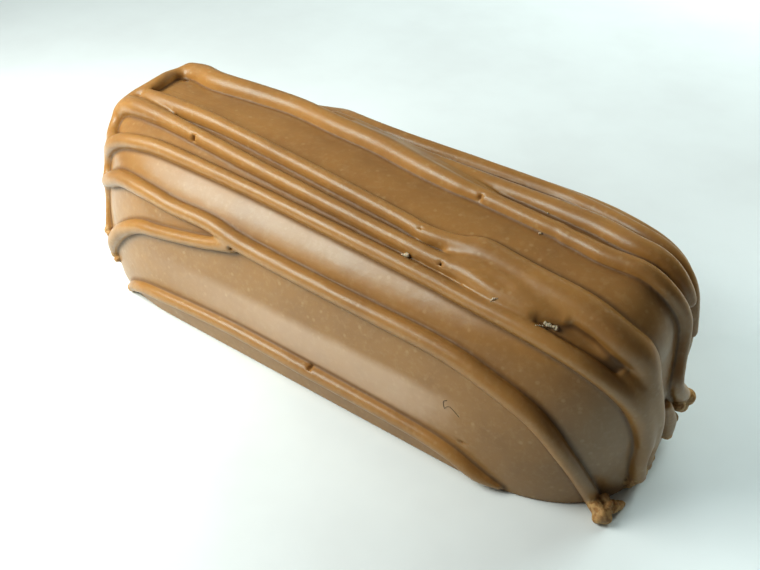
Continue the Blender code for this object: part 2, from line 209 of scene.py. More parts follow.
# %% The strands' routes
# name: (lane, lift, route). The lift is the share of the radius by which the middle stands off the
# bar, and a route's places are (along, across, up, radius).
STRANDS = {
    "low_near": (1, 0.35, [
        (-16.2, -8.4, 0.5, 0.38), (-15.2, -8.7, 1.2, 0.45), (-12.6, -9.1, 2.0, 0.48),
        (-5.5, -9.1, 2.5, 0.48), (1.8, -9.1, 2.4, 0.53), (9.2, -9.1, 2.2, 0.50),
        (12.6, -9.1, 1.8, 0.50), (14.6, -8.9, 0.9, 0.46), (16.1, -8.6, 0.4, 0.20)]),
    "near_branch": (2, 0.35, [
        (-19.2, -7.2, 1.9, 0.40), (-18.6, -7.7, 3.0, 0.48), (-17.3, -8.2, 4.6, 0.58),
        (-15.9, -8.4, 5.9, 0.57), (-13.9, -8.5, 7.0, 0.51), (-11.8, -8.5, 7.4, 0.46),
        (-8.0, -8.3, 8.1, 0.45), (-5.2, -8.1, 8.8, 0.46)]),
    "near_side": (1, 0.35, [
        (-19.9, -6.9, 3.7, 0.42), (-20.2, -6.6, 4.6, 0.34), (-20.4, -6.2, 6.0, 0.30),
        (-20.1, -6.1, 7.2, 0.42), (-18.3, -6.9, 8.5, 0.60), (-16.8, -7.2, 9.3, 0.62),
        (-15.4, -7.4, 9.6, 0.60), (-13.0, -7.7, 9.7, 0.57), (-10.5, -7.9, 9.6, 0.54),
        (-7.3, -7.8, 9.6, 0.55),
        (-3.8, -8.0, 9.2, 0.58), (3.5, -8.1, 8.9, 0.58), (10.8, -8.2, 8.7, 0.61),
        (14.2, -8.3, 8.1, 0.62), (17.4, -8.1, 6.7, 0.62), (19.7, -7.5, 3.9, 0.52),
        (20.8, -6.6, 1.4, 0.50), (21.4, -6.7, 0.6, 0.50), (22.0, -7.0, 0.5, 0.46)]),
    "near_shoulder": (2, 0.35, [
        (-20.2, -6.0, 7.4, 0.42), (-20.5, -5.5, 8.4, 0.42), (-20.2, -5.3, 9.4, 0.48),
        (-19.0, -5.6, 10.5, 0.54), (-17.9, -5.6, 11.2, 0.59), (-16.0, -5.6, 11.7, 0.58),
        (-13.1, -5.5, 11.9, 0.55),
        (-5.9, -5.6, 11.8, 0.49), (1.3, -5.9, 11.7, 0.49), (8.5, -6.2, 11.5, 0.50),
        (12.0, -6.4, 11.3, 0.50), (15.7, -6.5, 11.1, 0.56), (19.1, -6.2, 10.2, 0.58),
        (21.4, -4.9, 7.8, 0.56), (22.4, -3.9, 4.7, 0.58), (22.4, -3.9, 2.6, 0.56),
        (22.3, -3.5, 1.2, 0.55)]),
    "near_top": (1, 0.35, [
        (-19.2, -5.3, 10.7, 0.50), (-20.3, -4.7, 10.6, 0.52), (-20.9, -3.9, 11.1, 0.58),
        (-20.7, -3.2, 11.7, 0.68), (-19.9, -3.0, 12.3, 0.74), (-18.6, -3.2, 12.7, 0.75),
        (-17.2, -3.3, 12.8, 0.68), (-13.7, -3.5, 12.7, 0.58), (-6.5, -4.1, 12.5, 0.54),
        (0.9, -4.6, 12.3, 0.50), (8.2, -5.1, 12.1, 0.52), (11.1, -5.3, 12.1, 0.60),
        (13.3, -5.6, 11.8, 0.56), (15.2, -5.7, 11.6, 0.40)]),
    "middle_top": (3, 0.35, [
        (-18.5, -2.0, 13.0, 0.60), (-15.8, -2.0, 13.1, 0.65), (-12.9, -2.0, 13.1, 0.62),
        (-9.4, -2.2, 13.0, 0.54), (-2.0, -2.9, 12.9, 0.52), (5.0, -3.6, 12.7, 0.50),
        (7.3, -3.9, 12.6, 0.53), (9.0, -3.8, 12.6, 0.52), (11.0, -3.7, 12.5, 0.50)]),
    "sheet": (4, -0.2, [
        (8.6, -3.8, 12.4, 0.45), (9.6, -3.6, 12.3, 0.74), (10.7, -3.4, 12.3, 0.98),
        (12.8, -3.7, 12.2, 1.04), (14.9, -4.0, 12.1, 1.10), (17.5, -4.1, 11.9, 1.06),
        (20.0, -4.1, 11.0, 1.02), (21.0, -3.6, 10.0, 1.02), (21.5, -3.5, 8.6, 0.98),
        (21.9, -3.2, 6.8, 0.95), (22.2, -2.8, 5.0, 0.90), (22.3, -2.6, 3.6, 0.74),
        (22.4, -2.5, 2.0, 0.56), (22.4, -2.3, 1.0, 0.50)]),
    "puddle": (5, -0.3, [
        (9.4, -4.4, 12.1, 0.50), (10.6, -4.6, 12.0, 0.95), (12.4, -4.9, 11.9, 1.15),
        (14.0, -5.0, 11.8, 1.15), (15.6, -5.1, 11.7, 0.90), (17.0, -5.0, 11.5, 0.45)]),
    "web": (5, 0.1, [
        (20.7, -4.9, 9.5, 0.30), (21.1, -4.6, 8.8, 0.55), (21.6, -4.2, 7.6, 0.72),
        (22.1, -3.7, 5.6, 0.64), (22.3, -3.4, 3.6, 0.50)]),
    "rim": (2, 0.35, [
        (-20.7, -3.0, 11.6, 0.66), (-20.1, -2.3, 12.5, 0.66), (-19.4, -1.4, 13.0, 0.62),
        (-19.4, 0.0, 13.1, 0.59), (-19.9, 1.4, 12.9, 0.60), (-19.8, 2.4, 13.0, 0.68),
        (-19.3, 3.0, 12.9, 0.80)]),
    "far_top": (1, 0.35, [
        (-19.3, 3.0, 12.9, 0.84), (-17.8, 2.9, 12.9, 0.90), (-15.8, 2.5, 13.1, 0.89),
        (-12.1, 2.9, 13.0, 0.87), (-8.5, 3.1, 12.9, 0.84), (-4.4, 2.5, 13.0, 0.81),
        (-0.6, 2.1, 13.1, 0.78), (3.2, 1.3, 13.2, 0.72), (6.5, 0.8, 13.2, 0.63),
        (8.1, 0.7, 13.2, 0.56), (14.2, 0.0, 13.2, 0.54), (17.3, -0.5, 13.2, 0.58),
        (20.4, -0.2, 12.5, 0.56), (21.9, 0.6, 10.0, 0.50), (22.3, 0.2, 8.0, 0.44),
        (22.6, -0.3, 6.4, 0.50), (22.8, 0.4, 5.2, 0.58), (22.9, 1.3, 4.2, 0.62),
        (22.9, 2.1, 3.3, 0.60)]),
    "end_drip": (2, 0.35, [
        (22.6, -1.3, 5.2, 0.36), (22.7, -0.7, 4.1, 0.45), (22.7, -0.2, 3.1, 0.50),
        (22.7, 0.1, 2.0, 0.46)]),
    "far_band": (3, 0.2, [
        (-6.9, 5.0, 12.0, 0.45), (-3.9, 4.2, 12.5, 0.57), (0.4, 3.1, 12.8, 0.61),
        (3.7, 2.8, 12.9, 0.60), (9.8, 2.6, 12.9, 0.63), (12.7, 2.4, 13.0, 0.71),
        (15.5, 2.1, 13.1, 0.76), (18.2, 1.5, 13.1, 0.71), (20.8, 1.8, 11.8, 0.60),
        (21.4, 2.1, 10.4, 0.50)]),
    "far_filler": (4, 0.1, [
        (-4.2, 3.4, 12.8, 0.66), (-0.5, 2.6, 12.9, 0.72), (3.5, 2.0, 13.0, 0.68),
        (6.5, 1.7, 13.0, 0.48), (9.2, 1.6, 13.0, 0.15)]),
    "far_shoulder": (2, 0.35, [
        (-20.6, 5.6, 7.5, 0.50), (-19.0, 7.0, 9.0, 0.55), (-13.0, 7.7, 9.6, 0.58),
        (-9.0, 7.2, 10.4, 0.60), (-5.2, 5.6, 11.8, 0.60), (-0.8, 5.0, 12.2, 0.60),
        (5.2, 5.4, 12.0, 0.58), (11.0, 5.5, 11.9, 0.56), (14.2, 4.7, 12.3, 0.54),
        (17.3, 3.7, 12.6, 0.53), (20.2, 3.3, 11.7, 0.52), (21.4, 3.2, 10.0, 0.50),
        (22.0, 3.1, 7.6, 0.44)]),
    "far_edge": (1, 0.35, [
        (-20.4, 6.6, 4.5, 0.48), (-18.2, 8.0, 6.6, 0.56), (-11.0, 8.3, 7.8, 0.60),
        (-3.0, 7.9, 9.3, 0.60), (4.0, 7.2, 10.6, 0.58), (10.9, 6.5, 11.2, 0.55),
        (13.9, 5.8, 11.6, 0.53), (17.1, 4.7, 12.1, 0.50), (19.6, 4.3, 11.2, 0.48),
        (21.0, 4.3, 9.0, 0.46), (21.6, 4.8, 6.4, 0.44), (21.4, 5.2, 4.0, 0.42)]),
    "far_side": (3, 0.35, [
        (-20.0, 7.2, 1.0, 0.44), (-17.6, 8.4, 3.6, 0.54), (-12.0, 8.8, 5.4, 0.56),
        (-2.0, 8.7, 6.2, 0.58), (8.0, 8.4, 7.2, 0.58), (15.0, 7.9, 7.4, 0.58),
        (18.6, 7.0, 5.6, 0.56), (20.2, 6.2, 1.8, 0.46)]),
    "low_far": (2, 0.35, [
        (-13.0, 8.8, 0.8, 0.40), (-9.0, 9.0, 2.4, 0.50), (2.0, 9.0, 3.0, 0.52),
        (11.0, 8.9, 2.4, 0.50), (14.6, 8.6, 0.7, 0.40)]),
}
print("strands:", len(STRANDS))

# %% [markdown]
# A curve that passes through all its places is a Catmull-Rom curve: each stretch leans on the two
# places beside it. It is sampled much finer than the strand is thick. Laying a point on the bar
# means finding the nearest point of the bar and standing off it by the lift. A tip that hangs free
# or lies on the table is farther from the bar than about a millimetre, and stays where it is. No
# strand goes down into the table.

# %% Laying the strands on the bar
LANES = (1, 2, 3, 4, 5)
STRAND_STEP = 0.12
FREE_DISTANCE = 1.1
LOWEST_LIFT = 1.02
RELAX_PASSES = 8


def as_surface(rings):
    """A search tree of the bar's skin, for finding the nearest point on it."""
    levels, around = rings.shape[:2]
    corner = np.arange((levels - 1) * around).reshape(levels - 1, around)
    after = np.roll(corner, -1, axis=1)
    faces = np.stack([corner, after, after + around, corner + around], axis=-1).reshape(-1, 4)
    return BVHTree.FromPolygons(rings.reshape(-1, 3).tolist(), faces.tolist())


def smooth_route(route):
    """The route and its radii, sampled finely on a Catmull-Rom curve."""
    knots = np.array(route)
    knots = np.concatenate([[2 * knots[0] - knots[1]], knots, [2 * knots[-1] - knots[-2]]])
    samples = []
    for before, start, end, after in zip(knots, knots[1:], knots[2:], knots[3:]):
        count = max(2, round(np.linalg.norm((end - start)[:3]) / STRAND_STEP))
        t = np.linspace(0.0, 1.0, count, endpoint=False)[:, None]
        samples.append(0.5 * (2 * start + (end - before) * t
                              + (2 * before - 5 * start + 4 * end - after) * t ** 2
                              + (3 * start - before - 3 * end + after) * t ** 3))
    return np.concatenate([*samples, knots[-2:-1]])


def laid(samples, lift, surface):
    """The samples' middles, moved on to the bar."""
    middles = []
    for x, y, z, radius in samples:
        place = Vector((x, y, z))
        found, direction, _, distance = surface.find_nearest(place)
        if distance < FREE_DISTANCE:
            place = found + direction * radius * lift
        place.z = max(place.z, LOWEST_LIFT * radius)
        middles.append(place)
    middles = np.array(middles)
    for _ in range(RELAX_PASSES):
        middles[1:-1] = (middles[:-2] + 2 * middles[1:-1] + middles[2:]) / 4
    return middles


surface = as_surface(skin_rings(around=220, wall_steps=24, shoulder_steps=40, lowest=0.0))
lanes = {lane: [] for lane in LANES}
for lane, lift, route in STRANDS.values():
    samples = smooth_route(route)
    lanes[lane].append(np.column_stack([laid(samples, lift, surface), samples[:, 3]]))
for lane, parts in lanes.items():
    clouds[f"lane_{lane}"] = ball_cloud(f"lane_{lane}", np.concatenate(parts))
    print("lane", lane, "has", sum(len(part) for part in parts), "points")

# %% [markdown]
# ## Torn tips, air holes and creases
# Where the sweet was lifted off the belt, the strands that hung over its ends tore off and left
# short crumbly tips. Each is a handful of small lumps, written as (along, across, up, radius).
# Small bubbles burst in the chocolate while it set. They left pinholes about a quarter of a
# millimetre wide, and two wider pits. A few larger, shallow dents belong to the tips. Two creases
# belong to the strands: a gap that stayed open beside the wide band, and a shallow valley where
# two strands ran together. A dent is a ball that is cut out of the shape, a pinhole is a few of
# them in a row inwards, and a crease is a row of them along a route.

# %% The torn tips, the air holes and the creases
TORN_TIPS = [
    # Near corner, lying on the table.
    (21.5, -6.6, 0.75, 0.52), (21.9, -6.9, 0.55, 0.52), (22.2, -6.9, 0.38, 0.38),
    (22.0, -6.5, 0.75, 0.42), (22.2, -6.1, 0.60, 0.42), (22.4, -5.7, 0.42, 0.34),
    (22.5, -5.4, 0.32, 0.24), (21.8, -7.2, 0.35, 0.33), (22.1, -6.4, 1.05, 0.26),
    (21.7, -6.2, 1.15, 0.28),
    # Foot under the near shoulder strand.
    (22.3, -3.9, 0.95, 0.42), (22.3, -3.4, 0.60, 0.42), (22.5, -2.9, 0.90, 0.42),
    (22.5, -2.3, 0.95, 0.40), (22.6, -1.9, 1.30, 0.30), (22.2, -3.7, 0.35, 0.30),
    # Flared foot and the drip beside it.
    (22.9, 2.0, 3.5, 0.54), (22.9, 2.4, 3.0, 0.44), (22.8, 1.5, 3.1, 0.46),
    (22.7, 2.7, 2.6, 0.36), (22.8, 0.9, 3.6, 0.42), (22.7, 0.2, 1.6, 0.38),
    (22.7, 0.6, 1.2, 0.28), (22.6, 0.9, 2.4, 0.40),
    # Left end.
    (-19.1, -7.3, 1.7, 0.36), (-18.8, -7.5, 1.4, 0.26), (-19.8, -7.0, 3.4, 0.36),
    (-19.5, -7.2, 3.3, 0.25), (-20.0, -6.8, 3.1, 0.22), (-16.3, -8.5, 0.4, 0.32),
]
PINHOLES = [
    (2.0, -9.4, 2.8, 0.14), (-5.0, -8.6, 9.0, 0.13), (-12.0, -4.1, 12.9, 0.14),
    (8.3, 0.3, 13.6, 0.11), (9.8, -7.1, 10.2, 0.10), (9.3, -5.6, 12.3, 0.12),
    (13.5, -8.9, 2.8, 0.11), (6.8, -4.1, 13.0, 0.10),
    # Two pits beside the turned strand at the left end.
    (-18.7, -1.4, 13.2, 0.20), (-18.7, 1.9, 13.1, 0.18),
]
# A pinhole's balls go in by these shares of its radius.
PINHOLE_DEPTHS = (0.0, 0.9, 1.8, 2.7)
DENTS = [
    (22.5, -6.4, 0.95, 0.28), (23.5, 1.3, 3.7, 0.42), (23.5, -1.3, 3.0, 0.85),
    (22.9, -2.6, 0.6, 0.20),
]
CREASES = [
    # The gap that stays open between the near shoulder strand and the wide band above it.
    [(16.6, -5.95, 11.7, 0.20), (17.3, -5.8, 11.5, 0.34), (18.2, -5.6, 11.3, 0.42),
     (19.0, -5.45, 11.0, 0.38), (19.6, -5.4, 10.75, 0.26)],
    # The shallow valley in the pool where the two top strands ran together.
    [(10.9, -5.2, 13.35, 0.50), (11.8, -5.4, 13.35, 0.62), (12.8, -5.6, 13.25, 0.66),
     (13.6, -5.7, 13.10, 0.56)],
]

holes = list(DENTS)
for x, y, z, radius in PINHOLES:
    mouth = Vector((x, y, z))
    _, outwards, _, _ = surface.find_nearest(mouth)
    for depth in PINHOLE_DEPTHS:
        holes.append((*(mouth - outwards * radius * depth), radius))
clouds["torn_tips"] = ball_cloud("torn_tips", TORN_TIPS)
clouds["holes"] = ball_cloud("air_holes", holes)
clouds["creases"] = ball_cloud("creases", np.concatenate([smooth_route(crease) for crease in CREASES]))
print("lumps in torn tips:", len(TORN_TIPS), "pinholes:", len(PINHOLES), "dents:", len(DENTS))

# %% [markdown]
# ## Building node trees in code
# A node tree is easier to read when each node is one short line. This small helper adds a node,
# fills its sockets in order with numbers or with other nodes' outputs, and gives the node back.


# %% A helper for node trees
class Tree:
    """Short calls that add nodes to a tree and join them."""

    def __init__(self, tree):
        self.tree = tree

    def add(self, kind, *values, **settings):
        """A new node. None leaves a socket as it is, and a socket that isn't in use isn't counted."""
        node = self.tree.nodes.new(kind)
        for name, setting in settings.items():
            setattr(node, name, setting)
        in_use = (socket for socket in node.inputs if socket.enabled)
        for socket, value in zip(in_use, values):
            if isinstance(value, bpy.types.NodeSocket):
                self.tree.links.new(value, socket)
            elif value is not None:
                socket.default_value = value
        return node

    def math(self, operation, *values, clamp=False):
        """The result of a Math node."""
        return self.add("ShaderNodeMath", *values, operation=operation, use_clamp=clamp).outputs[0]

    def vector(self, operation, *values):
        """The result of a Vector Math node, which is a number for two of the operations."""
        node = self.add("ShaderNodeVectorMath", *values, operation=operation)
        return node.outputs["Value" if operation in ("DOT_PRODUCT", "DISTANCE") else "Vector"]


def new_group(name, inputs, outputs):
    """A Geometry Nodes group with named inputs and outputs. Both are dicts of socket types."""
    group = bpy.data.node_groups.new(name, "GeometryNodeTree")
    for key, kind in inputs.items():
        group.interface.new_socket(key, in_out="INPUT", socket_type=kind)
    for key, kind in outputs.items():
        group.interface.new_socket(key, in_out="OUTPUT", socket_type=kind)
    return group


def apply_inputs(modifier, **values):
    """Sets a Geometry Nodes modifier's inputs, found by name and set by identifier."""
    for item in modifier.node_group.interface.items_tree:
        key = item.name.lower().replace(" ", "_")
        if item.item_type == "SOCKET" and item.in_out == "INPUT" and key in values:
            modifier[item.identifier] = values[key]


print("helpers ready")

# %% [markdown]
# ## The shape as one distance
# Bars, strands and holes could be joined with Boolean modifiers, which leave sharp seams and often
# fail where surfaces nearly touch. Instead the whole shape is written as one number: how far a
# place is from the surface, negative inside. The smaller of two such distances joins two shapes,
# and the Math node's Smooth Minimum joins them with a fillet, like chocolate that has flowed
# together. Cutting a hole is a Smooth Maximum with the hole's distance turned over.
#
# Two helpers give the distances. One reads the nearest point of the skin and its direction. The
# other reads the nearest point of a strand and its radius.

# %% The distance to the skin and to a strand
GEOMETRY = "NodeSocketGeometry"
OBJECT = "NodeSocketObject"
VECTOR = "NodeSocketVector"
FLOAT = "NodeSocketFloat"


def nearest(tree, cloud, place, attribute):
    """The nearest point of a cloud: its position, and its value of one attribute."""
    points = tree.add("GeometryNodeObjectInfo", cloud).outputs["Geometry"]
    index = tree.add("GeometryNodeSampleNearest", points, place, domain="POINT").outputs[0]
    kind = "FLOAT_VECTOR" if attribute == "facing" else "FLOAT"
    position = tree.add("GeometryNodeInputPosition").outputs[0]
    value = tree.add("GeometryNodeInputNamedAttribute", attribute, data_type=kind).outputs[0]
    found = tree.add("GeometryNodeSampleIndex", points, position, index, data_type="FLOAT_VECTOR")
    carried = tree.add("GeometryNodeSampleIndex", points, value, index, data_type=kind)
    return found.outputs[0], carried.outputs[0]


def skin_distance(tree, cloud, place):
    """How far the place is from the skin."""
    found, facing = nearest(tree, cloud, place, "facing")
    return tree.vector("DOT_PRODUCT", tree.vector("SUBTRACT", place, found), facing)


def ball_distance(tree, cloud, place):
    """How far the place is from the nearest ball of a strand, or of any other cloud of balls."""
    found, thickness = nearest(tree, cloud, place, "thickness")
    return tree.math("SUBTRACT", tree.vector("DISTANCE", place, found), thickness)


print("distance helpers ready")

# %% [markdown]
# The distances come together in one group, so that it can be used twice: once to build the mesh,
# and once to tell which of its points lie on a strand. The skin and the strands are both set in
# by one or two hundredths of a millimetre, which keeps the mesh inside the solid's box.

# %% The praline's distance
SHARED = {
    "Skin": OBJECT, **{f"Lane {lane}": OBJECT for lane in LANES},
    "Torn tips": OBJECT, "Holes": OBJECT, "Creases": OBJECT,
    "Skin inset": FLOAT, "Strand inset": FLOAT,
    "Strand fillet": FLOAT, "Torn fillet": FLOAT, "Contact fillet": FLOAT,
    "Crease softness": FLOAT, "Hole softness": FLOAT,
}
distance_group = new_group(
    "praline distance",
    {"Place": VECTOR, **SHARED},
    {"Distance": FLOAT, "Skin distance": FLOAT, "Strand distance": FLOAT, "Torn distance": FLOAT},
)
tree = Tree(distance_group)
given = tree.add("NodeGroupInput").outputs
place = given["Place"]

bar_part = tree.math("ADD", skin_distance(tree, given["Skin"], place), given["Skin inset"])
drizzle_part = ball_distance(tree, given["Lane 1"], place)
for lane in LANES[1:]:
    lane_part = ball_distance(tree, given[f"Lane {lane}"], place)
    drizzle_part = tree.math("SMOOTH_MIN", drizzle_part, lane_part, given["Strand fillet"])
drizzle_part = tree.math("ADD", drizzle_part, given["Strand inset"])
torn_part = ball_distance(tree, given["Torn tips"], place)
drizzle_part = tree.math("SMOOTH_MIN", drizzle_part, torn_part, given["Torn fillet"])
whole = tree.math("SMOOTH_MIN", bar_part, drizzle_part, given["Contact fillet"])
for cutter, softness in (("Creases", "Crease softness"), ("Holes", "Hole softness")):
    cut = tree.math("MULTIPLY", ball_distance(tree, given[cutter], place), -1.0)
    whole = tree.math("SMOOTH_MAX", whole, cut, given[softness])
height = tree.add("ShaderNodeSeparateXYZ", place).outputs["Z"]
whole = tree.math("MAXIMUM", whole, tree.math("MULTIPLY", height, -1.0))
tree.add("NodeGroupOutput", whole, bar_part, drizzle_part, torn_part)
print("distance group:", len(distance_group.nodes), "nodes")

# %% [markdown]
# ## From distances to a mesh
# Volume Cube samples a number on a grid of small boxes, and Volume to Mesh draws the surface where
# that number passes zero. Small boxes cost time, and they are needed most at the two ends, where
# strands turn and tear. So the grid is squeezed along the middle of the bar: a place in the grid
# is stretched to its real place before its distance is asked for, and the mesh's points are
# stretched in the same way afterwards.

# %% The mesh from the grid
GRID_STEP = 0.12
MIDDLE = 16.5
STRETCH = 2.0
GRID_LOW = (-24.0, -10.0, -0.3)
GRID_HIGH = (24.0, 10.0, 14.3)
OUTSIDE_DEPTH = -1.0


def stretched(tree, place, middle, stretch):
    """A grid place's real place: along the middle part, x is stretched."""
    x, y, z = tree.add("ShaderNodeSeparateXYZ", place).outputs
    distance = tree.math("ABSOLUTE", x)
    within = tree.math("MINIMUM", distance, middle)
    real = tree.math("MULTIPLY_ADD", within, stretch, tree.math("SUBTRACT", distance, within))
    real = tree.math("MULTIPLY", real, tree.math("SIGN", x))
    return tree.add("ShaderNodeCombineXYZ", real, y, z).outputs[0]


def squeezed(x):
    """The grid place of a real place along the bar, in millimetres."""
    within = min(abs(x), MIDDLE)
    return math.copysign(within / STRETCH + abs(x) - within, x)


def grid_corner(corner):
    """The grid place, in metres, of a corner in millimetres."""
    return squeezed(corner[0]) * MM, corner[1] * MM, corner[2] * MM


shape_group = new_group(
    "praline shape",
    {
        **SHARED, "Squeezed middle": FLOAT, "Stretch": FLOAT,
        "Columns": "NodeSocketInt", "Rows": "NodeSocketInt", "Layers": "NodeSocketInt",
    },
    {"Geometry": GEOMETRY},
)
tree = Tree(shape_group)
given = tree.add("NodeGroupInput").outputs
grid_place = tree.add("GeometryNodeInputPosition").outputs[0]
real_place = stretched(tree, grid_place, given["Squeezed middle"], given["Stretch"])
distance = tree.add("GeometryNodeGroup", node_tree=distance_group)
shape_group.links.new(real_place, distance.inputs["Place"])
for key in SHARED:
    shape_group.links.new(given[key], distance.inputs[key])
depth = tree.math("MULTIPLY", distance.outputs["Distance"], -1.0 / MM)
grid = tree.add(
    "GeometryNodeVolumeCube", depth, OUTSIDE_DEPTH, grid_corner(GRID_LOW), grid_corner(GRID_HIGH),
    given["Columns"], given["Rows"], given["Layers"],
).outputs[0]
drawn = tree.add("GeometryNodeVolumeToMesh", grid, resolution_mode="GRID")
drawn.inputs["Threshold"].default_value = 0.0
drawn.inputs["Adaptivity"].default_value = 0.0
moved = tree.add("GeometryNodeSetPosition", drawn.outputs[0], None, real_place).outputs[0]
tree.add("NodeGroupOutput", tree.add("GeometryNodeRealizeInstances", moved).outputs[0])

praline = placed("drizzled_bar", bpy.data.meshes.new("drizzled_bar"))
shaping = praline.modifiers.new("shape", "NODES")
shaping.node_group = shape_group
sizes = {
    "skin_inset": 0.018 * MM,
    "strand_inset": 0.010 * MM,
    "strand_fillet": 0.55 * MM,
    "torn_fillet": 0.15 * MM,
    "contact_fillet": 0.28 * MM,
    "crease_softness": 0.30 * MM,
    "hole_softness": 0.05 * MM,
}
apply_inputs(
    shaping, **clouds, **sizes, squeezed_middle=MIDDLE / STRETCH * MM, stretch=STRETCH,
    columns=round((squeezed(GRID_HIGH[0]) - squeezed(GRID_LOW[0])) / GRID_STEP),
    rows=round((GRID_HIGH[1] - GRID_LOW[1]) / GRID_STEP),
    layers=round((GRID_HIGH[2] - GRID_LOW[2]) / GRID_STEP),
)


def as_plain_mesh(obj):
    """Puts the object's evaluated mesh in place of its own, and removes its modifiers."""
    graph = bpy.context.evaluated_depsgraph_get()
    made = bpy.data.meshes.new_from_object(obj.evaluated_get(graph))
    obj.modifiers.clear()
    old, obj.data = obj.data, made
    made.name = obj.name
    bpy.data.meshes.remove(old)


as_plain_mesh(praline)
print("mesh from the grid:", len(praline.data.polygons), "faces")

# %% [markdown]
# The grid gives far more faces than the smooth sides need. The Decimate modifier merges them
# where the surface is nearly flat and keeps them where it bends, so the count falls to a fraction
# with hardly any change in shape.

# %% Fewer faces where it is smooth
MOST_TRIANGLES = 190000


def triangles(mesh):
    """How many triangles the mesh's faces make."""
    return sum(len(face.vertices) - 2 for face in mesh.polygons)


before = triangles(praline.data)
thinning = praline.modifiers.new("fewer faces", "DECIMATE")
thinning.ratio = min(1.0, MOST_TRIANGLES / before)
thinning.use_collapse_triangulate = True
as_plain_mesh(praline)
print("triangles:", before, "->", triangles(praline.data))

# %% [markdown]
# The finish needs to know two things about each point: whether it lies on a strand, and how near
# a torn tip it is. Both come from the same distances, and are stored on the mesh as attributes.

# %% Which points lie on a strand
# The skin's distance less the strands', at a point of the bare bar and at one on a strand.
BAR_GAP = -0.50 * MM
STRAND_GAP = 0.35 * MM
TORN_REACH = 0.25 * MM

mark_group = new_group(
    "strand mark",
    {"Geometry": GEOMETRY, **SHARED, "Material": "NodeSocketMaterial"},
    {"Geometry": GEOMETRY},
)
tree = Tree(mark_group)
given = tree.add("NodeGroupInput").outputs
distance = tree.add("GeometryNodeGroup", node_tree=distance_group)
mark_group.links.new(tree.add("GeometryNodeInputPosition").outputs[0], distance.inputs["Place"])
for key in SHARED:
    mark_group.links.new(given[key], distance.inputs[key])
gap = tree.math("SUBTRACT", distance.outputs["Skin distance"], distance.outputs["Strand distance"])
on_strand = tree.add("ShaderNodeMapRange", gap, BAR_GAP, STRAND_GAP, 0.0, 1.0).outputs[0]
torn_distance = distance.outputs["Torn distance"]
near_torn = tree.add("ShaderNodeMapRange", torn_distance, TORN_REACH, 0.0, 0.0, 1.0).outputs[0]
marked = given["Geometry"]
for key, share in (("drizzle", on_strand), ("torn", near_torn)):
    marked = tree.add("GeometryNodeStoreNamedAttribute", marked, None, key, share,
                      data_type="FLOAT", domain="POINT").outputs[0]
smooth = tree.add("GeometryNodeSetShadeSmooth", marked, None, True).outputs[0]
finished = tree.add("GeometryNodeSetMaterial", smooth, None, given["Material"]).outputs[0]
tree.add("NodeGroupOutput", finished)
print("mark group:", len(mark_group.nodes), "nodes")

# %% [markdown]
# ## Finishes
# Every finish here is made the same way: patterns of noise on object coordinates choose between a
# few colours and make the surface a little rougher or smoother from place to place. These calls
# make a new material and give each pattern one short line.


# %% A helper for materials
class Finish(Tree):
    """The node tree of a new material, with calls for patterns and colours."""

    def __init__(self, name):
        self.material = bpy.data.materials.new(name)
        self.material.use_nodes = True
        super().__init__(self.material.node_tree)
        self.place = self.add("ShaderNodeTexCoord").outputs["Object"]

    def noise(self, scale, detail, roughness=0.5):
        """Noise between 0 and 1, in lumps of about one over the scale, in metres."""
        node = self.add("ShaderNodeTexNoise", self.place, noise_dimensions="3D")
        node.inputs["Scale"].default_value = scale
        node.inputs["Detail"].default_value = detail
        node.inputs["Roughness"].default_value = roughness
        return node.outputs[0]

    def between(self, value, low, high, start=0.0, end=1.0):
        """The value's range from low to high, spread smoothly from start to end."""
        return self.add("ShaderNodeMapRange", value, low, high, start, end,
                        interpolation_type="SMOOTHSTEP").outputs[0]

    def product(self, *shares):
        """The product of these shares."""
        product = shares[0]
        for share in shares[1:]:
            product = self.math("MULTIPLY", product, share)
        return product

    def mixed(self, share, colour, other):
        """The colour, with this share of the other one in it."""
        return self.add("ShaderNodeMix", share, colour, other, data_type="RGBA").outputs[2]

    def bump(self, strength, height, pattern, below=None):
        """The normal of a surface on which the pattern stands this high, in metres."""
        return self.add("ShaderNodeBump", strength, height, None, pattern, below).outputs[0]

    def shade(self, sockets):
        """Fills the shader's sockets by name, with numbers or with other nodes' outputs."""
        shader = self.tree.nodes["Principled BSDF"]
        for name, value in sockets.items():
            if isinstance(value, bpy.types.NodeSocket):
                self.tree.links.new(value, shader.inputs[name])
            else:
                shader.inputs[name].default_value = value


print("material helper ready")

# %% [markdown]
# ## The chocolate
# Milk chocolate is a light, warm brown with a soft gloss, and it lets a little light in. Its
# colour is never quite even: there are broad, faint clouds and milky specks a quarter of a
# millimetre wide. The creases where a strand meets the bar are darker: painted shade, standing
# in for their shadow. The strands are a touch lighter and warmer. Where a tip tore off, the
# broken inside shows: paler, drier and grainy. Two pale greyish bands along the near side are a
# painted sheen, standing in for the light's reflection on that wall. All of it is made from
# object coordinates, from noise on them, and from the two values stored on the mesh.

# %% The chocolate's colour
BAR_BROWN = (0.285, 0.147, 0.044, 1.0)
STRAND_BROWN = (0.320, 0.164, 0.046, 1.0)
CLOUD_BROWN = (0.225, 0.113, 0.037, 1.0)
SPECK_COLOUR = (0.47, 0.33, 0.17, 1.0)
# Painted shade: a dark brown for the creases where a strand meets the bar.
CREASE_SHADE_BROWN = (0.110, 0.052, 0.018, 1.0)
TORN_COLOUR = (0.52, 0.33, 0.14, 1.0)
# Painted sheen: a pale greyish colour for two bands on the near side, standing in for a reflection.
PAINTED_SHEEN_COLOUR = (0.67, 0.52, 0.40, 1.0)
CLOUD_SHARE = 0.55
GRAIN_SHARE = 0.16
SPECKS_PER_METRE = 2000.0
CELLS_WITHOUT_SPECK = 0.82
SPECK_SHARE = 0.26
CREASE_SHADE_SHARE = 0.70
TORN_SHARE = 0.75
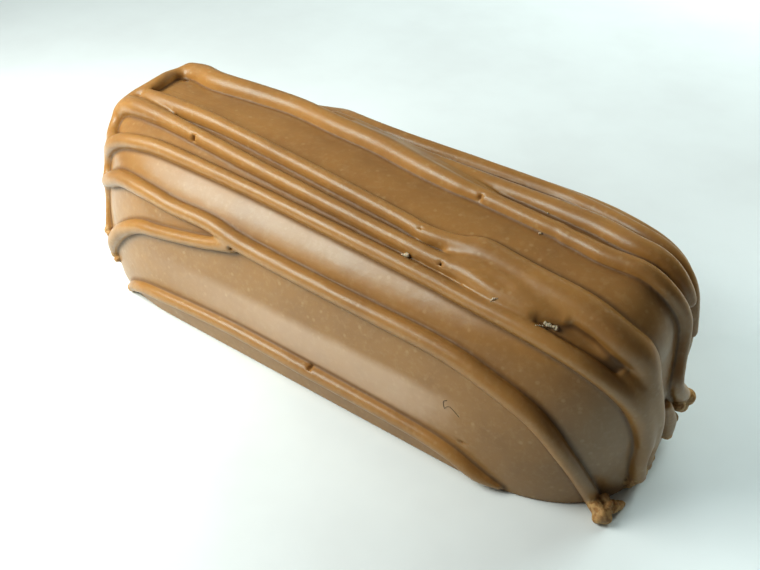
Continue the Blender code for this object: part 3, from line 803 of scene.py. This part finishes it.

# A band of painted sheen is a product of ramps, each (direction, nothing here, all of it
# here), in millimetres. Noise makes its edges wander within the ranges below.
LOW_SHEEN_BAND = [("up", 2.6, 3.2), ("up", 6.0, 5.1), ("across", -6.8, -7.6), ("along", -15.0, 1.0),
             ("along", 14.0, 8.5)]
HIGH_SHEEN_BAND = [("up", 9.7, 10.1), ("across", -4.6, -5.6), ("along", -16.0, -8.0), ("along", 14.0, 6.0)]
LOW_SHEEN_SHARE = 0.42
HIGH_SHEEN_SHARE = 0.07
WANDER_ALONG = 6.0 * MM
WANDER_UP = 0.4 * MM

chocolate = Finish("milk chocolate")
strand_share = chocolate.add("ShaderNodeAttribute", attribute_name="drizzle").outputs["Fac"]
torn_share = chocolate.add("ShaderNodeAttribute", attribute_name="torn").outputs["Fac"]

clouded = chocolate.between(chocolate.noise(260.0, 3.0, 0.55), 0.40, 0.72, 0.0, CLOUD_SHARE)
grain = chocolate.noise(2600.0, 3.0, 0.6)
colour = chocolate.mixed(strand_share, BAR_BROWN, STRAND_BROWN)
colour = chocolate.mixed(clouded, colour, CLOUD_BROWN)
colour = chocolate.mixed(chocolate.between(grain, 0.45, 0.75, 0.0, GRAIN_SHARE), colour, SPECK_COLOUR)

cell = chocolate.add("ShaderNodeTexVoronoi", chocolate.place, voronoi_dimensions="3D", feature="F1")
cell.inputs["Scale"].default_value = SPECKS_PER_METRE
chance = chocolate.add("ShaderNodeSeparateColor", cell.outputs["Color"]).outputs[0]
chosen = chocolate.math("GREATER_THAN", chance, CELLS_WITHOUT_SPECK)
speck = chocolate.product(chocolate.between(cell.outputs["Distance"], 0.36, 0.12), chosen, SPECK_SHARE)
colour = chocolate.mixed(speck, colour, SPECK_COLOUR)

along, across, up = chocolate.add("ShaderNodeSeparateXYZ", chocolate.place).outputs
wander = chocolate.math("SUBTRACT", chocolate.noise(350.0, 3.0, 0.6), 0.5)
directions = {
    "along": chocolate.math("MULTIPLY_ADD", wander, WANDER_ALONG, along),
    "across": across,
    "up": chocolate.math("MULTIPLY_ADD", wander, WANDER_UP, up),
}


def painted_sheen_band(ramps, share):
    """How much of this band of painted sheen there is at each place, up to this share."""
    shares = [chocolate.between(directions[key], nothing * MM, everything * MM)
              for key, nothing, everything in ramps]
    return chocolate.product(*shares, share)


# Painted sheen: two pale greyish bands on the near side stand in for the light's reflection on that
# wall.
painted_sheen = chocolate.math("ADD", painted_sheen_band(LOW_SHEEN_BAND, LOW_SHEEN_SHARE),
                       painted_sheen_band(HIGH_SHEEN_BAND, HIGH_SHEEN_SHARE))
painted_sheen = chocolate.product(painted_sheen, chocolate.between(strand_share, 0.50, 0.25))
colour = chocolate.mixed(painted_sheen, colour, PAINTED_SHEEN_COLOUR)

# Painted shade: the creases where a strand meets the bar are darkened, standing in for their shadow.
crease_shade = chocolate.product(chocolate.between(strand_share, 0.10, 0.54),
                            chocolate.between(strand_share, 0.80, 0.60))
colour = chocolate.mixed(chocolate.product(crease_shade, CREASE_SHADE_SHARE), colour, CREASE_SHADE_BROWN)
broken = chocolate.between(chocolate.noise(3400.0, 2.0, 0.6), 0.38, 0.58)
colour = chocolate.mixed(chocolate.product(torn_share, broken, TORN_SHARE), colour, TORN_COLOUR)
chocolate.shade({"Base Color": colour})
print("colour nodes:", len(chocolate.tree.nodes))

# %% [markdown]
# The gloss is uneven in the same way: cloudy patches where the cooling chocolate dulled a little,
# duller contact lines and painted sheen bands, and dry broken tips. Bumps finish the skin: a barely
# visible orange peel, and the finer grain of sugar and milk, at most two hundredths of a millimetre
# high. A coarser one roughens only the torn tips.

# %% The chocolate's gloss and grain
SMOOTHEST = 0.22
# Where the surface is rougher, and by how much.
ROUGHER = [
    (chocolate.noise(420.0, 4.0, 0.6), 0.22), (strand_share, 0.05), (crease_shade, 0.25), (painted_sheen, 0.30),
    (torn_share, 0.35),
]
roughness = SMOOTHEST
for share, rougher in ROUGHER:
    roughness = chocolate.math("MULTIPLY_ADD", share, rougher, roughness, clamp=True)

# Each bump's height in millimetres, and its pattern.
BUMPS = [
    (0.030, chocolate.noise(900.0, 1.0)), (0.010, grain),
    (0.09, chocolate.product(chocolate.noise(5200.0, 2.0, 0.6), torn_share)),
]
normal = None
for height, pattern in BUMPS:
    normal = chocolate.bump(1.0, height * MM, pattern, normal)

chocolate.shade({
    "Roughness": roughness, "Normal": normal, "IOR": 1.55,
    "Specular IOR Level": 0.62, "Specular Tint": (0.8, 1.0, 1.0, 1.0),
    "Coat Weight": 0.16, "Coat Roughness": 0.4, "Coat IOR": 1.5,
    "Subsurface Weight": 0.12, "Subsurface Radius": (1.0, 0.45, 0.2), "Subsurface Scale": 0.6 * MM,
})
print("nodes in all:", len(chocolate.tree.nodes))

# %% [markdown]
# The mark group stores its two numbers and sets the material in one go. After that the clouds of
# points aren't needed any more.

# %% Marking and colouring the praline
marking = praline.modifiers.new("mark", "NODES")
marking.node_group = mark_group
apply_inputs(marking, **clouds, **sizes, material=chocolate.material)
as_plain_mesh(praline)
for cloud in clouds.values():
    bpy.data.objects.remove(cloud, do_unlink=True)
print("marked:", [layer.name for layer in praline.data.attributes])

# %% [markdown]
# ## Crumbs and a fibre
# Five pale crumbs of dried sugar and one thin dark fibre lie on the sweet. A crumb is a route too,
# with a small lump at each step, and each lump is a ball pushed in and out by noise. They are set
# on the finished surface by finding the nearest place on it. The fibre is a curve with a bevel,
# laid on in the same way.

# %% Crumbs and a fibre on the surface
CRUMBS = [
    # Each crumb's route, as (along, across, up, radius).
    [(6.6, -5.6, 11.7, 0.07), (6.8, -5.55, 11.8, 0.12), (7.0, -5.5, 11.9, 0.15)],
    [(16.0, -6.4, 11.65, 0.04), (16.2, -6.1, 11.6, 0.06), (16.4, -5.85, 11.5, 0.12),
     (16.7, -5.72, 11.42, 0.11), (16.9, -5.68, 11.4, 0.14)],
    [(13.1, -6.35, 11.9, 0.03), (13.2, -6.2, 12.0, 0.07), (13.4, -6.15, 12.1, 0.03)],
    [(12.85, -0.5, 13.0, 0.06), (12.95, -0.45, 13.0, 0.07)],
    [(12.2, 1.7, 13.0, 0.04), (12.25, 1.7, 13.0, 0.04)],
]
# A rise is how far a middle stands above the surface, as a share of its radius.
CRUMB_RISE = 0.4
CRUMB_PUSH = 0.45
PUSHES_PER_METRE = 6500.0
FIBRE = [
    (12.1, -8.7, 5.45), (11.9, -8.8, 5.3), (11.95, -8.8, 5.0), (12.05, -8.8, 4.8),
    (12.15, -8.8, 5.0), (12.35, -8.8, 5.1), (12.6, -8.8, 5.0), (12.9, -8.8, 4.8),
    (13.05, -8.8, 4.7),
]
FIBRE_RADIUS = 0.018 * MM
FIBRE_RISE = 0.8
SAME_PLACE = 0.001 * MM

whole_surface = BVHTree.FromPolygons(
    [vertex.co.copy() for vertex in praline.data.vertices],
    [face.vertices[:] for face in praline.data.polygons],
)


def on_surface(place, rise):
    """The point of the chocolate nearest to a place in millimetres, raised by this many metres."""
    found, direction, _, _ = whole_surface.find_nearest(Vector(place) * MM)
    return found + direction * rise


crumb_maker = bmesh.new()
for crumb in CRUMBS:
    for x, y, z, radius in smooth_route(crumb):
        middle = on_surface((x, y, z), CRUMB_RISE * radius * MM)
        lump = bmesh.ops.create_icosphere(crumb_maker, subdivisions=3, radius=radius * MM)
        for vertex in lump["verts"]:
            push = CRUMB_PUSH * solid_noise.noise((vertex.co + middle) * PUSHES_PER_METRE)
            vertex.co = middle + vertex.co * (1.0 + push)
crumb_mesh = bpy.data.meshes.new("crumbs")
crumb_maker.to_mesh(crumb_mesh)
crumb_maker.free()
crumb_mesh.shade_smooth()
crumbs = placed("crumbs", crumb_mesh)

fibre_curve = bpy.data.curves.new("fibre", "CURVE")
fibre_curve.dimensions = "3D"
fibre_curve.bevel_depth = FIBRE_RADIUS
fibre_curve.bevel_resolution = 1
fibre_curve.use_fill_caps = True
spline = fibre_curve.splines.new("POLY")
fibre_places = [on_surface(sample, FIBRE_RISE * FIBRE_RADIUS) for sample in smooth_route(FIBRE)]
spline.points.add(len(fibre_places) - 1)
for knot, place in zip(spline.points, fibre_places):
    knot.co = (*place, 1.0)
fibre_drawn = placed("fibre_curve", fibre_curve)
graph = bpy.context.evaluated_depsgraph_get()
fibre_mesh = bpy.data.meshes.new_from_object(fibre_drawn.evaluated_get(graph))
bpy.data.objects.remove(fibre_drawn, do_unlink=True)
closer = bmesh.new()
closer.from_mesh(fibre_mesh)
bmesh.ops.remove_doubles(closer, verts=closer.verts, dist=SAME_PLACE)
bmesh.ops.recalc_face_normals(closer, faces=closer.faces)
closer.to_mesh(fibre_mesh)
closer.free()
fibre = placed("fibre", fibre_mesh)
print("crumbs:", len(crumb_mesh.polygons), "faces, fibre:", len(fibre_mesh.polygons), "faces")

# %% [markdown]
# The crumbs are matt and grainy, in two pale tones, and the fibre is in two dark ones.

# %% Their finishes
SUGAR_PALE = (0.50, 0.45, 0.35, 1.0)
SUGAR_DULL = (0.36, 0.30, 0.20, 1.0)
FIBRE_DARK = (0.12, 0.09, 0.05, 1.0)
FIBRE_PALE = (0.22, 0.17, 0.10, 1.0)

sugar = Finish("dried sugar")
patches = sugar.between(sugar.noise(5000.0, 3.0, 0.6), 0.35, 0.65)
sugar.shade({
    "Base Color": sugar.mixed(patches, SUGAR_PALE, SUGAR_DULL),
    "Roughness": sugar.math("MULTIPLY_ADD", patches, 0.3, 0.5),
    "Normal": sugar.bump(0.8, 0.02 * MM, sugar.noise(14000.0, 2.0)),
    "Subsurface Weight": 0.2, "Subsurface Scale": 0.1 * MM,
})
crumb_mesh.materials.append(sugar.material)

fluff = Finish("dark fibre")
strips = fluff.noise(3000.0, 2.0)
fluff.shade({
    "Base Color": fluff.mixed(strips, FIBRE_DARK, FIBRE_PALE),
    "Roughness": fluff.math("MULTIPLY_ADD", strips, 0.2, 0.5),
})
fibre_mesh.materials.append(fluff.material)
print("nodes of sugar and fibre:", len(sugar.tree.nodes), len(fluff.tree.nodes))

# %% [markdown]
# ## The floor
# The sweet lies on plain white paper. One flat sheet is enough for it, and noise keeps it from
# looking like plastic: broad faint clouds in its tone, and a fine bump for its fibres. The sheet
# runs far out on every side, so that none of its edges is near from any angle.

# %% The floor
FLOOR_HALF = 0.3
PAPER_WHITE = (0.77, 0.84, 0.84, 1.0)
PAPER_GREY = (0.73, 0.79, 0.79, 1.0)

floor_maker = bmesh.new()
bmesh.ops.create_grid(floor_maker, x_segments=2, y_segments=2, size=FLOOR_HALF)
floor_mesh = bpy.data.meshes.new("floor")
floor_maker.to_mesh(floor_mesh)
floor_maker.free()
floor = placed("floor", floor_mesh)

paper = Finish("white paper")
paper_clouds = paper.between(paper.noise(60.0, 4.0, 0.6), 0.35, 0.70)
fibres = paper.noise(1800.0, 4.0, 0.7)
paper.shade({
    "Base Color": paper.mixed(paper_clouds, PAPER_WHITE, PAPER_GREY),
    "Roughness": paper.math("MULTIPLY_ADD", fibres, 0.2, 0.5),
    "Normal": paper.bump(0.6, 0.010 * MM, fibres),
})
floor_mesh.materials.append(paper.material)
print("floor:", 2 * FLOOR_HALF, "m square")

# %% [markdown]
# ## The light
# The light is soft and comes from the near left, a little above the sweet. An area light is a
# glowing rectangle, and the larger and nearer it is, the softer its shadows and the faster its
# light falls off along the bar. The window also shows in the gloss as the sheen on the strands.
# The other lights only brighten: a lamp beside it, one over the paper behind, and one over the
# paper on the right. The room itself is a faint warm grey that fills the shadows, darker towards
# the right. Seen directly, from the other sides, it is a pale backdrop.

# %% The light
ROOM_COLOUR = (0.96, 0.93, 0.88, 1.0)
ROOM_STRENGTH = 0.16
ROOM_FALL = -0.12
BACKDROP_STRENGTH = 0.70


def soft_light(name, place, target, width, height, power, colour, mirrored=False, spread=180.0):
    """A rectangle of light, in millimetres, that faces the target. Its spread is in degrees."""
    data = bpy.data.lights.new(name, "AREA")
    data.shape = "RECTANGLE"
    data.size = width * MM
    data.size_y = height * MM
    data.energy = power
    data.color = colour
    data.spread = math.radians(spread)
    light = placed(name, data)
    light.location = Vector(place) * MM
    light.rotation_euler = (Vector(target) - Vector(place)).to_track_quat("-Z", "Y").to_euler()
    light.visible_glossy = mirrored
    return light


lights = [
    soft_light("window", place=(-45, -43, 63), target=(-5, 0, 10), width=50, height=43,
               power=0.0370, colour=(0.84, 0.95, 1.0), mirrored=True),
    soft_light("lamp", place=(-40, -34, 42), target=(-8, 0, 8), width=40, height=34,
               power=0.040, colour=(1.0, 0.95, 0.86)),
    soft_light("back light", place=(10, 150, 70), target=(10, 115, 0), width=160, height=60,
               power=0.215, colour=(0.92, 1.0, 0.98)),
    soft_light("right light", place=(34, 45, 50), target=(30, 2, 0), width=20, height=20,
               power=0.0015, colour=(0.86, 1.0, 1.0), spread=50.0),
]
world = bpy.data.worlds.new("room")
world.use_nodes = True
room = world.node_tree.nodes["Background"]
room.inputs["Color"].default_value = ROOM_COLOUR
tree = Tree(world.node_tree)
direction = tree.add("ShaderNodeTexCoord").outputs["Generated"]
rightwards = tree.add("ShaderNodeSeparateXYZ", direction).outputs["X"]
strength = tree.math("MULTIPLY_ADD", rightwards, ROOM_FALL, ROOM_STRENGTH)
seen = tree.add("ShaderNodeLightPath").outputs["Is Camera Ray"]
strength = tree.add("ShaderNodeMix", seen, strength, BACKDROP_STRENGTH, data_type="FLOAT").outputs[0]
world.node_tree.links.new(strength, room.inputs["Strength"])
bpy.context.scene.world = world
bpy.context.scene.view_settings.view_transform = "Standard"
bpy.context.scene.view_settings.look = "Medium High Contrast"
print("lights:", [light.name for light in lights])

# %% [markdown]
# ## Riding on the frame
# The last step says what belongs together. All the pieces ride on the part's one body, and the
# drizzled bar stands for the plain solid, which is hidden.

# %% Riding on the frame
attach(praline, "root")
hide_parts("praline")
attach(crumbs, "root")
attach(fibre, "root")
